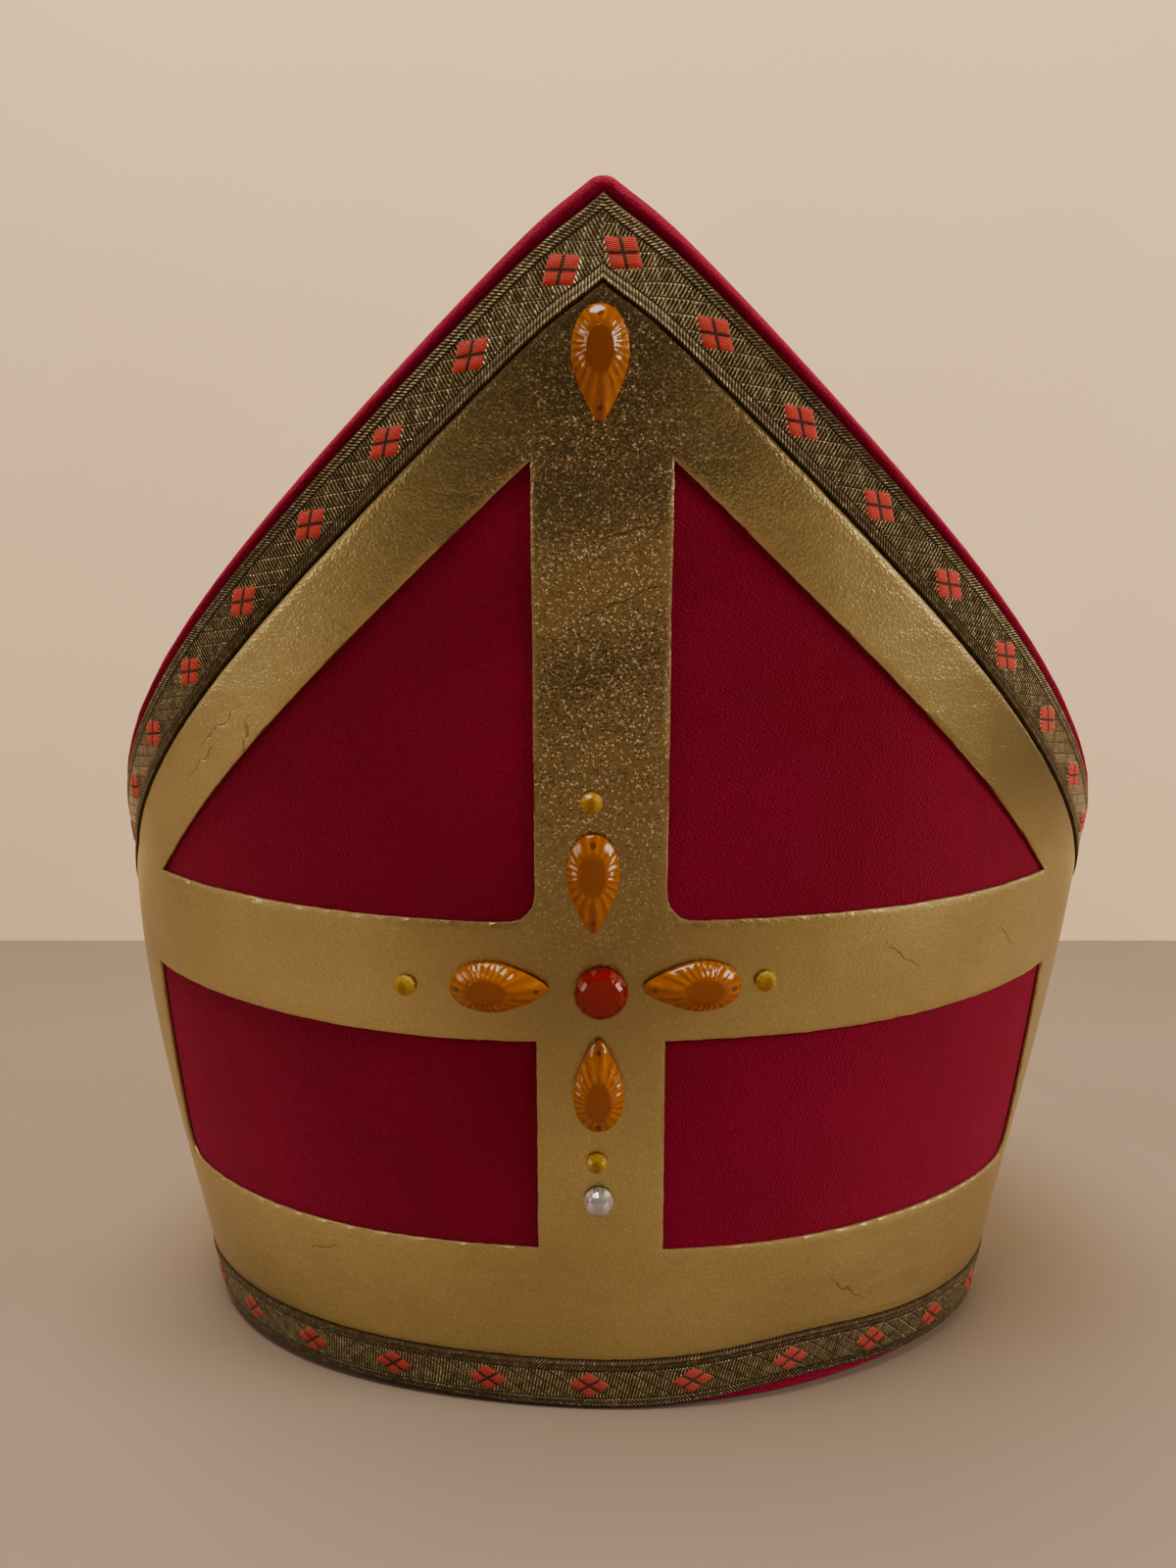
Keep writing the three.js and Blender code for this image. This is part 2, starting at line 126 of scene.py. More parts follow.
def folded(across, up, out):
    """Takes points of the flat pattern to the mitre's front, out in front of the velvet."""
    spread = np.arctan2(across, up + FRONT_SLANT)
    turn = np.interp(spread, spreads, turns)
    foot, ray, outwards = wall_lines(turn)
    slant = np.linalg.norm(ray, axis=1)
    place = ray * (np.hypot(across, up + FRONT_SLANT) / slant)[:, None] - [0, 0, FLARE_DEPTH]
    return place + outwards * (out + sway(across, up))[:, None]


def spots_of(piece):
    spots = np.empty(3 * len(piece.data.vertices))
    piece.data.vertices.foreach_get("co", spots)
    return spots.reshape(-1, 3)


def put_spots(piece, spots):
    piece.data.vertices.foreach_set("co", np.ascontiguousarray(spots).ravel())
    piece.data.update()


def deselect():
    for other in bpy.context.selected_objects:
        other.select_set(False)


def pick(piece):
    """Only this piece is selected and active."""
    deselect()
    piece.select_set(True)
    bpy.context.view_layer.objects.active = piece


def work(piece, kind, **settings):
    """Adds a modifier with these settings and applies it."""
    pick(piece)
    modifier = piece.modifiers.new(kind.title(), kind)
    for key, value in settings.items():
        setattr(modifier, key, value)
    bpy.ops.object.modifier_apply(modifier=modifier.name)


def new_grid(name, columns, rows):
    """A square grid from -1 to 1, alone in the selection."""
    deselect()
    bpy.ops.mesh.primitive_grid_add(x_subdivisions=columns, y_subdivisions=rows, size=2)
    piece = bpy.context.object
    piece.name = piece.data.name = name
    return piece


def flat_panel(name, columns, rows, foot, head, bunch):
    """A grid laid out as the flat pattern: columns along the rays, rows from foot to head.
    bunch crowds the columns to the middle and both sides, and the rows to both ends."""
    piece = new_grid(name, columns, rows)
    spots = spots_of(piece)
    side = spots[:, 0] - bunch * np.sin(2 * np.pi * spots[:, 0]) / (2 * np.pi)
    rise = (spots[:, 1] + 1) / 2
    rise = (1 - bunch) * rise + bunch * (0.5 - 0.5 * np.cos(np.pi * rise))
    spread = SEAM_SPREAD * side
    reach = foot(spread) + (head(spread) - foot(spread)) * rise
    up = reach * np.cos(spread) - FRONT_SLANT
    put_spots(piece, np.stack([reach * np.sin(spread), up, 0 * side], 1))
    return piece


def name_pattern(piece, chart):
    """Gives each corner its place on the cloth, from the corner's and its face's flat spots."""
    mesh = piece.data
    spots = spots_of(piece)
    corners = np.empty(len(mesh.loops), dtype=np.int32)
    mesh.loops.foreach_get("vertex_index", corners)
    counts = np.empty(len(mesh.polygons), dtype=np.int32)
    mesh.polygons.foreach_get("loop_total", counts)
    centres = np.empty(3 * len(mesh.polygons))
    mesh.polygons.foreach_get("center", centres)
    middle = np.repeat(centres.reshape(-1, 3), counts, axis=0)
    for layer in list(mesh.uv_layers):
        mesh.uv_layers.remove(layer)
    layer = mesh.uv_layers.new(name="pattern")
    layer.uv.foreach_set("vector", chart(spots[corners], middle).astype(np.float32).ravel())


def fold_piece(piece, half):
    """Folds a flat piece, whose third side is how far it stands out, onto the front or back."""
    spots = spots_of(piece)
    spots = folded(spots[:, 0], pressed(spots[:, 0], spots[:, 1]), spots[:, 2])
    if half == "back":
        spots = spots * [-1, -1, 1]
    put_spots(piece, settled(spots))


def smooth(piece, angle):
    pick(piece)
    bpy.ops.object.shade_smooth_by_angle(angle=math.radians(angle))


def speckle(spots, size):
    """Even noise from -1 to 1, as fine as size."""
    return np.array([noise.noise(Vector(spot)) for spot in spots / size])


class Amount:
    """A number that changes over the surface; arithmetic on it adds Math nodes."""

    def __init__(self, finish, socket):
        self.finish, self.socket = finish, socket

    def math(self, operation, *others):
        terms = dict(enumerate([self, *others]))
        return self.finish.add("ShaderNodeMath", {"operation": operation}, terms)

    def turned(self, operation, first):
        terms = {0: first, 1: self}
        return self.finish.add("ShaderNodeMath", {"operation": operation}, terms)

    def __add__(self, other):
        return self.math("ADD", other)

    def __sub__(self, other):
        return self.math("SUBTRACT", other)

    def __rsub__(self, other):
        return self.turned("SUBTRACT", other)

    def __mul__(self, other):
        return self.math("MULTIPLY", other)

    def __truediv__(self, other):
        return self.math("DIVIDE", other)

    def __mod__(self, other):
        return self.math("FLOORED_MODULO", other)

    def __pow__(self, other):
        return self.math("POWER", other)

    def __abs__(self):
        return self.math("ABSOLUTE")

    __radd__, __rmul__ = __add__, __mul__

    def wave(self):
        """From 0 to 1 and back once for each whole number."""
        return (self * (2 * math.pi)).math("SINE") * 0.5 + 0.5

    def between(self, low, high):
        """0 below low, 1 above high, even between; high may be the lower one."""
        return self.finish.add(
            "ShaderNodeMapRange", {}, {"Value": self, "From Min": low, "From Max": high})


class Finish:
    """A material on one Principled shader. constants are the same all over the surface."""

    def __init__(self, name, **constants):
        self.material = bpy.data.materials.new(name)
        self.material.use_nodes = True
        self.nodes, self.links = self.material.node_tree.nodes, self.material.node_tree.links
        self.shader = self.nodes["Principled BSDF"]
        self.join(self.shader, {key.replace("_", " "): value for key, value in constants.items()})

    def join(self, node, sockets):
        for key, value in sockets.items():
            if isinstance(value, Amount):
                self.links.new(value.socket, node.inputs[key])
            else:
                node.inputs[key].default_value = value

    def add(self, kind, settings, sockets, result=0):
        node = self.nodes.new(kind)
        for key, value in settings.items():
            setattr(node, key, value)
        self.join(node, sockets)
        return Amount(self, node.outputs[result])

    def place(self):
        return self.add("ShaderNodeTexCoord", {}, {}, "Object")

    def pattern(self):
        """The piece's place on the cloth, as two amounts in millimetres."""
        spot = self.add("ShaderNodeUVMap", {"uv_map": "pattern"}, {})
        return [self.add("ShaderNodeSeparateXYZ", {}, {0: spot}, axis) * 1000 for axis in (0, 1)]

    def spot(self, *sides):
        return self.add("ShaderNodeCombineXYZ", {}, dict(enumerate(sides)))

    def noise(self, place, scale, detail=2.0, roughness=0.5):
        sockets = {"Vector": place, "Scale": scale, "Detail": detail, "Roughness": roughness}
        return self.add("ShaderNodeTexNoise", {}, sockets)

    def grains(self, place, scale):
        """A different even number in each small cell."""
        cell = self.add("ShaderNodeTexVoronoi", {}, {"Vector": place, "Scale": scale}, "Color")
        return self.add("ShaderNodeSeparateXYZ", {}, {0: cell})

    def blend(self, factor, first, second):
        sockets = {0: factor, 6: first, 7: second}
        return self.add("ShaderNodeMix", {"data_type": "RGBA"}, sockets, 2)

    def relief(self, height, distance, strength=1.0, under=None):
        sockets = {"Height": height, "Distance": distance, "Strength": strength}
        if under:
            sockets["Normal"] = under
        return self.add("ShaderNodeBump", {}, sockets)

    def flakes(self, place, scale, tip):
        """The surface's own normal, tipped a different way in each small cell."""
        def arrow(operation, sockets):
            return self.add("ShaderNodeVectorMath", {"operation": operation}, sockets)

        way = self.add("ShaderNodeTexVoronoi", {}, {"Vector": place, "Scale": scale}, "Color")
        way = arrow("SUBTRACT", {0: way, 1: (0.5, 0.5, 0.5)})
        way = arrow("SCALE", {0: way, "Scale": tip})
        level = self.add("ShaderNodeNewGeometry", {}, {}, "Normal")
        return arrow("NORMALIZE", {0: arrow("ADD", {0: level, 1: way})})

    def done(self, **varying):
        self.join(self.shader, {key.replace("_", " "): value for key, value in varying.items()})
        return self.material


def velvet_finish():
    finish = Finish("crimson_velvet", Roughness=0.8, Sheen_Weight=0.55, Sheen_Roughness=0.32,
                    Sheen_Tint=(0.95, 0.08, 0.24, 1), Specular_IOR_Level=0.12)
    place = finish.place()
    across, up = finish.pattern()
    nap = finish.noise(place, 26, 3).between(0.3, 0.7)
    pile = finish.noise(place, 1700, 3, 0.7).between(0.30, 0.70)
    ground = ((across * 0.62 + up * 0.9).wave() + (across * 0.9 - up * 0.35).wave()) * 0.5
    colour = finish.blend(nap, (0.235, 0.0010, 0.0270, 1), (0.300, 0.0018, 0.0400, 1))
    colour = finish.blend(pile * 0.40 + ground * 0.22, colour, (0.105, 0.0004, 0.0100, 1))
    relief = finish.relief(pile, 0.0004, 0.75)
    relief = finish.relief(ground, 0.00015, 0.45, relief)
    # The rolled edges and the strip just above the hem are painted lighter and pinker: a painted
    # sheen where the nap catches the light.
    inset = (PEAK * 1000 - abs(across) * math.tan(SLOPE) - up) * math.cos(SLOPE)
    painted_edge_sheen = inset.between(4.2, 0.6).math("MAXIMUM", up.between(5.0, 1.5))
    colour = finish.blend(painted_edge_sheen * 0.5, colour, (0.36, 0.004, 0.052, 1))
    return finish.done(Base_Color=colour, Normal=relief, Roughness=0.72 + 0.2 * pile)


def shell_head(spread):
    """The velvet's upper edge: two slanted lines joined by the peak's small round tip."""
    centre = FRONT_SLANT + PEAK - PEAK_RADIUS / math.cos(SLOPE)
    under_root = PEAK_RADIUS ** 2 - (centre * np.sin(spread)) ** 2
    arc = centre * np.cos(spread) + np.sqrt(np.maximum(under_root, 0))
    on_arc = (under_root > 0) & (np.abs(arc * np.sin(spread)) < PEAK_RADIUS * math.sin(SLOPE))
    return np.where(on_arc, arc, slant_reach(spread, 0)) + ROLL_OVERHANG


def rounded(share):
    """A quarter circle's height, from almost 0 at share 0 to 1 at share 1."""
    return np.sqrt(np.clip(1 - (1 - np.clip(share, 0, 1)) ** 2, 0.02, 1))


def velvet_half(half, material):
    piece = flat_panel(f"{half}_velvet_half", columns=210, rows=110,
                       foot=lambda ray: level_reach(ray, 0), head=shell_head, bunch=0.8)
    work(piece, "SOLIDIFY", thickness=WALL, offset=-1)
    name_pattern(piece, lambda corner, middle: corner[:, :2])
    spots = spots_of(piece)
    edge = inset_at(spots[:, 0], spots[:, 1]) + ROLL_OVERHANG * math.cos(SLOPE)
    spread = np.arctan2(spots[:, 0], spots[:, 1] + FRONT_SLANT)
    reach = np.hypot(spots[:, 0], spots[:, 1] + FRONT_SLANT)
    edge = np.minimum(edge, shell_head(spread) - reach)
    above_hem = reach - level_reach(spread, 0)
    rounding, hem_rounding = rounded(edge / ROLL_WIDTH), rounded(above_hem / HEM_ROLL)
    swell = ROLL_SWELL * np.sin(np.pi * np.clip(edge / SWELL_WIDTH, 0, 1))
    swell += RIPPLE * speckle(spots, RIPPLE_LENGTH) * (edge < RIPPLE_WIDTH)
    outer = np.where(spots[:, 2] > -WALL / 2, 1, -1)
    spots[:, 2] = -WALL / 2 + outer * (WALL / 2 * rounding * hem_rounding + swell * rounding)
    put_spots(piece, spots)
    fold_piece(piece, half)
    smooth(piece, 80)
    piece.data.materials.append(material)
    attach(piece, "root")
    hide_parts(f"{half}_shell")
    return piece


velvet = velvet_finish()
velvet_halves = [velvet_half(half, velvet) for half in HALVES]


# --- The web between the peaks ------------------------------------------------------------------
# A thin crimson cloth hung between the two halves just below their slanted edges. It sinks to a
# soft crease over the head, and closes the top, so that the mitre can fold flat.
WEB_THICKNESS, WEB_DROP, WEB_CREASE, WEB_ROUNDNESS = 0.0012, 0.006, 0.150, 0.15
WEB_SET_BACK = WALL + 0.00105
WEB_END_SPREAD = float(np.interp(math.radians(87.5), turns, spreads))
LONG_WRINKLES, SHORT_WRINKLES = 0.0034, 0.0018


def web_finish():
    finish = Finish("web_cloth", Roughness=0.85, Sheen_Weight=0.12, Sheen_Roughness=0.5,
                    Sheen_Tint=(0.9, 0.2, 0.25, 1), Specular_IOR_Level=0.15)
    across, up = finish.pattern()
    warp, weft = (across * 1.8).wave(), (up * 1.8).wave()
    weave = warp * (1 - weft) + weft * (1 - warp)
    cloud = finish.noise(finish.place(), 30, 3).between(0.3, 0.7)
    colour = finish.blend(cloud, (0.13, 0.003, 0.012, 1), (0.18, 0.006, 0.02, 1))
    colour = finish.blend(weave * 0.4, colour, (0.06, 0.001, 0.006, 1))
    rumple = finish.noise(finish.place(), 45, 4, 0.6)
    relief = finish.relief(weave, 0.0002, 0.5, finish.relief(rumple, 0.004, 0.35))
    return finish.done(Base_Color=colour, Normal=relief)


def crown_web():
    """A grid from seam to seam and front to back, hung from the edges down to its crease."""
    piece = new_grid("crown_web_cloth", columns=120, rows=70)
    spots = spots_of(piece)
    side, out = spots[:, 0], spots[:, 1]
    spread = WEB_END_SPREAD * side
    reach = slant_reach(spread, WEB_DROP)
    hung = folded(reach * np.sin(spread), reach * np.cos(spread) - FRONT_SLANT,
                  0 * side - WEB_SET_BACK)
    end = hung[np.argmax(hung[:, 0])]
    crease = WEB_CREASE + (end[2] - WEB_CREASE) * (hung[:, 0] / end[0]) ** 2
    depth = math.hypot(1, WEB_ROUNDNESS) - WEB_ROUNDNESS
    lift = (np.hypot(out, WEB_ROUNDNESS) - WEB_ROUNDNESS) / depth
    height = crease + (hung[:, 2] - crease) * lift
    slack = (1 - out ** 2) * np.clip(1 - side ** 2, 0, 1) ** 0.5
    height += LONG_WRINKLES * slack * np.sin(9 * side + 2.5 * out) * np.cos(3 * side)
    height += SHORT_WRINKLES * slack * np.sin(21 * side - 5 * np.abs(out) + 1)
    put_spots(piece, settled(np.stack([hung[:, 0], hung[:, 1] * -out, height], 1)))
    name_pattern(piece, lambda corner, middle: np.stack(
        [corner[:, 0], corner[:, 1] + np.sign(corner[:, 1]) * (corner[:, 2] - WEB_CREASE)], 1))
    work(piece, "SOLIDIFY", thickness=WEB_THICKNESS, offset=0)
    smooth(piece, 60)
    piece.data.materials.append(web_finish())
    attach(piece, "root")
    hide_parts("crown_web")


crown_web()


# --- The gold crosses ---------------------------------------------------------------------------
# A frame and a cross cut in one from thin gold leatherette, glued flat on each velvet half. The
# four windows are cut by hand, so their edges wander a little and show the backing.
GOLD_CLEARANCE, GOLD_THICKNESS = 0.0003, 0.0008
FRAME_INSET, WINDOW_INSET = 0.0153, 0.032
BAND_HALF, ARM_FOOT, ARM_HEAD = 0.0145, 0.0945, 0.1225
WINDOW_FOOT, WINDOW_SAG, WINDOW_SIDE = 0.0425, 0.007, 0.132
INNER_CORNER, OUTER_CORNER = 0.0075, 0.008
HEM_FOOT, HEM_CLIMB, BRAID_WIDTH = 0.0008, 0.0027, 0.012
HEM_HIGH, HEM_HIGH_TURN, HEM_HIGH_REACH = 0.0030, math.radians(25), 0.24
CUT_WANDER, CUT_GRAIN, CUT_BEVEL = 0.00016, 0.0019, 0.00025
CUTTER_DEPTH = 0.02


def turn_in_half(turn):
    """A turn round the whole hem, as the turn from the middle of its own half."""
    return (turn + math.pi / 2) % math.pi - math.pi / 2


def hem_foot(turn):
    """The braid's foot climbs to the sides, and right of the middle it was sewn a little high."""
    high = HEM_HIGH * np.exp(-((turn_in_half(turn) - HEM_HIGH_TURN) / HEM_HIGH_REACH) ** 2)
    return HEM_FOOT + HEM_CLIMB * np.sin(turn) ** 2 + high


def bent(start, corner, end, steps=6):
    """A rounded corner, as points from start to end."""
    shares = [i / steps for i in range(steps + 1)]
    return [tuple((1 - t) ** 2 * a + 2 * t * (1 - t) * b + t * t * c
                  for a, b, c in zip(start, corner, end)) for t in shares]


def upper_window():
    """Right half of the pair above the arms, as an outline on the flat pattern."""
    tip = (float(slant_height(WINDOW_INSET, 0)) - ARM_HEAD) / math.tan(SLOPE)
    head = (BAND_HALF, float(slant_height(WINDOW_INSET, BAND_HALF)))
    corner = bent((BAND_HALF, ARM_HEAD + INNER_CORNER), (BAND_HALF, ARM_HEAD),
                  (BAND_HALF + INNER_CORNER, ARM_HEAD))
    return [head, *corner, (tip, ARM_HEAD)]


def lower_window():
    def foot_at(across):
        return WINDOW_FOOT - WINDOW_SAG * (across / WINDOW_SIDE) ** 2

    corner_end = WINDOW_SIDE - OUTER_CORNER
    foot = [BAND_HALF + (corner_end - BAND_HALF) * i / 10 for i in range(10)]
    corner = bent((corner_end, foot_at(corner_end)), (WINDOW_SIDE, foot_at(WINDOW_SIDE)),
                  (WINDOW_SIDE, foot_at(WINDOW_SIDE) + OUTER_CORNER))
    foot_points = [(across, foot_at(across)) for across in foot]
    return [(BAND_HALF, ARM_FOOT), *foot_points, *corner, (WINDOW_SIDE, ARM_FOOT)]


def window_cutter(outline):
    """A short prism on this outline, to cut a window with."""
    deselect()
    bpy.ops.mesh.primitive_cylinder_add(vertices=len(outline), radius=1, depth=CUTTER_DEPTH)
    piece = bpy.context.object
    spots = spots_of(piece)
    for level in (spots[:, 2] > 0, spots[:, 2] < 0):
        ring = np.flatnonzero(level)
        ring = ring[np.argsort(np.arctan2(spots[ring, 1], spots[ring, 0]))]
        spots[ring, :2] = outline
    put_spots(piece, spots)
    return piece


CREASES = [
    # across, up, slant in degrees, half length; the lengths in millimetres
    (-92, 163, 34, 11), (-98, 155, 40, 9), (-84, 160, 70, 8), (-70, 33, 20, 6), (62, 24, -38, 9),
    (72, 110, -38, 8), (108, 108, -44, 6), (6, 207, 18, 14), (3, 192, 24, 12), (-4, 176, 14, 10),
]


def crease_marks(finish, across, up):
    """Short wandering lines where the foil has cracked, as one amount."""
    drift = finish.noise(finish.spot(across, up, 0), 0.16, 2) * 5 - 2.5
    marks = None
    for side, rise, slant, half_length in CREASES:
        lean = math.radians(slant)
        along = (across - side) * math.cos(lean) + (up - rise) * math.sin(lean)
        off = (up - rise) * math.cos(lean) - (across - side) * math.sin(lean) + drift
        mark = abs(off).between(0.32, 0.05) * abs(along).between(half_length, half_length * 0.4)
        marks = marks.math("MAXIMUM", mark) if marks else mark
    return marks


def gold_finish():
    """Foil on a fine hide, broken up the vertical band; painted darker there, round the crossing
    and in a patch to the right (a painted dark reflection), with painted glints up the band.
    """
    finish = Finish("gold_leatherette", Metallic=1.0)
    place = finish.place()
    across, up = finish.pattern()
    edge = finish.add("ShaderNodeAttribute", {"attribute_name": "cut_edge"}, {}, "Fac")
    crackle = finish.add("ShaderNodeTexVoronoi", {"feature": "DISTANCE_TO_EDGE"},
                         {"Vector": place, "Scale": 950.0})
    grain = finish.noise(place, 1100, 3, 0.6).between(0.25, 0.75)
    hide = crackle.between(0.0, 0.3) * 0.5 + grain * 0.5
    painted_glint_cells = finish.grains(place, 2900)
    cloud = finish.noise(place, 16, 4, 0.6).between(0.35, 0.68)
    crown = up.between(62, 155) * abs(across).between(54, 10)
    painted_dark_reflection = across.between(50, 95) * up.between(122, 150)
    above_arms = up - (ARM_FOOT + ARM_HEAD) * 500
    crossing = abs(across + 2).between(46, 8) * abs(above_arms).between(42, 8)
    colour = finish.blend(cloud, (0.49, 0.402, 0.170, 1), (0.64, 0.528, 0.240, 1))
    colour = finish.blend((1 - hide) * 0.40, colour, (0.22, 0.150, 0.060, 1))
    # The upper part of the vertical band is painted dark bronze: a painted dark reflection.
    colour = finish.blend(crown * 0.70, colour, (0.165, 0.116, 0.062, 1))
    # A patch to the right of the band is painted dark olive: a painted dark reflection.
    colour = finish.blend(painted_dark_reflection * 0.75, colour, (0.16, 0.125, 0.055, 1))
    # Round the crossing the gold is painted darker: a painted dark reflection.
    colour = finish.blend(crossing * 0.42, colour, (0.185, 0.125, 0.060, 1))
    # Small bright dots high up the band are painted glints.
    colour = finish.blend(painted_glint_cells.between(0.86, 0.98) * crown ** 3, colour, (1.0, 0.90, 0.66, 1))
    colour = finish.blend(edge.between(0.35, 0.9) * grain * 0.8, colour, (0.52, 0.39, 0.19, 1))
    front = finish.add("ShaderNodeSeparateXYZ", {}, {0: place}, 1).between(0.001, -0.001)
    cracks = crease_marks(finish, across, up) * front * grain.between(0.2, 0.55)
    colour = finish.blend(cracks * 0.8, colour, (0.13, 0.09, 0.04, 1))
    wrinkle = finish.noise(finish.spot(across * 0.016, up * 0.05, 0), 3.0, 2, 0.5)
    crease = finish.noise(place, 60, 3, 0.6)
    flakes = finish.flakes(place, 2500, 0.03 + 0.26 * crown ** 1.5)
    relief = finish.relief(wrinkle, 0.003, 0.11, flakes)
    relief = finish.relief(crease * (0.04 + 0.96 * crown), 0.0014, 0.20, relief)
    relief = finish.relief(hide - cracks * 1.5, 0.00024, 0.34, relief)
    roughness = 0.32 + 0.07 * cloud - 0.09 * crown + 0.25 * edge
    return finish.done(Base_Color=colour, Roughness=roughness, Normal=relief)


def gold_cross(half, material):
    def foot(ray):
        braid_head = hem_foot(np.interp(ray, spreads, turns)) + BRAID_WIDTH
        return level_reach(ray, braid_head + GOLD_CLEARANCE)

    piece = flat_panel(f"{half}_gold_leatherette", columns=200, rows=120,
                       foot=foot, head=lambda ray: slant_reach(ray, FRAME_INSET), bunch=0.0)
    work(piece, "SOLIDIFY", thickness=GOLD_THICKNESS, offset=-1)
    for outline in (upper_window(), lower_window()):
        for side in (1, -1):
            cutter = window_cutter([(side * x, y) for x, y in outline][::side])
            work(piece, "BOOLEAN", object=cutter, operation="DIFFERENCE", solver="EXACT")
            bpy.data.objects.remove(cutter)
    name_pattern(piece, lambda corner, middle: corner[:, :2])
    mesh = piece.data
    edge = np.zeros(len(mesh.vertices))
    for face in mesh.polygons:
        if abs(face.normal.z) < 0.5:
            edge[list(face.vertices)] = 1
    mesh.attributes.new("cut_edge", "FLOAT", "POINT").data.foreach_set("value", edge)
    spots = spots_of(piece)
    top = spots[:, 2] > -GOLD_THICKNESS / 2
    wander = CUT_WANDER * edge
    spots[:, 0] += wander * speckle(spots * [1, 1, 0], CUT_GRAIN)
    spots[:, 1] += wander * speckle(spots * [1, 1, 0] + 0.7, CUT_GRAIN)
    spots[:, 2] += GOLD_CLEARANCE + GOLD_THICKNESS - CUT_BEVEL * edge * top
    put_spots(piece, spots)
    fold_piece(piece, half)
    smooth(piece, 40)
    mesh.materials.clear()
    mesh.materials.append(material)
    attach(piece, "root")
    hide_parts(f"{half}_gold_cross")


gold = gold_finish()
for half in HALVES:
    gold_cross(half, gold)


# --- The edge braids ----------------------------------------------------------------------------
# A woven metallic braid with small red lozenges runs along both slanted edges of each half, a
# little in from the velvet roll. It is mitred at the peak and sewn down flat.
BRAID_INSET, BRAID_THICKNESS = 0.003, 0.0015
REPEAT = 0.0245
LOZENGE_HALF_LENGTH, LOZENGE_HALF_WIDTH = 0.0049, 0.0033
BORDER = 0.0024
LOZENGE_RISE, CORD_RISE, BRAID_SINK, BRAID_RIM = 0.0004, 0.00013, 0.0003, 0.0004
FIRST_LOZENGE = {"right": 0.0134, "left": 0.0191}


def braid_relief(along, across):
    """How far the weave stands up: two cords on each border and raised lozenges."""
    shift = (along / REPEAT - np.floor(along / REPEAT + 0.5)) * REPEAT
    slope_one = shift / LOZENGE_HALF_LENGTH + across / LOZENGE_HALF_WIDTH
    slope_two = shift / LOZENGE_HALF_LENGTH - across / LOZENGE_HALF_WIDTH
    reach = np.maximum(np.abs(slope_one), np.abs(slope_two))
    nearest = np.minimum(np.abs(slope_one), np.abs(slope_two))
    lozenge = np.clip((1.08 - reach) / 0.16, 0, 1) * (0.4 + 0.6 * np.clip(nearest / 0.16, 0, 1))
    from_edge = BRAID_WIDTH / 2 - np.abs(across)
    cord = from_edge / (BORDER / 2)
    cord = np.sqrt(np.clip(1 - (2 * (cord - np.floor(cord)) - 1) ** 2, 0, 1)) * (from_edge < BORDER)
    return LOZENGE_RISE * lozenge + CORD_RISE * cord


def woven_face(along, across):
    """The woven face over the plain strip's: raised threads, and edges worn round."""
    rim = np.clip((BRAID_WIDTH / 2 - np.abs(across)) / BRAID_RIM, 0, 1)
    return braid_relief(along, across) - BRAID_SINK - BRAID_RIM * (1 - rim)


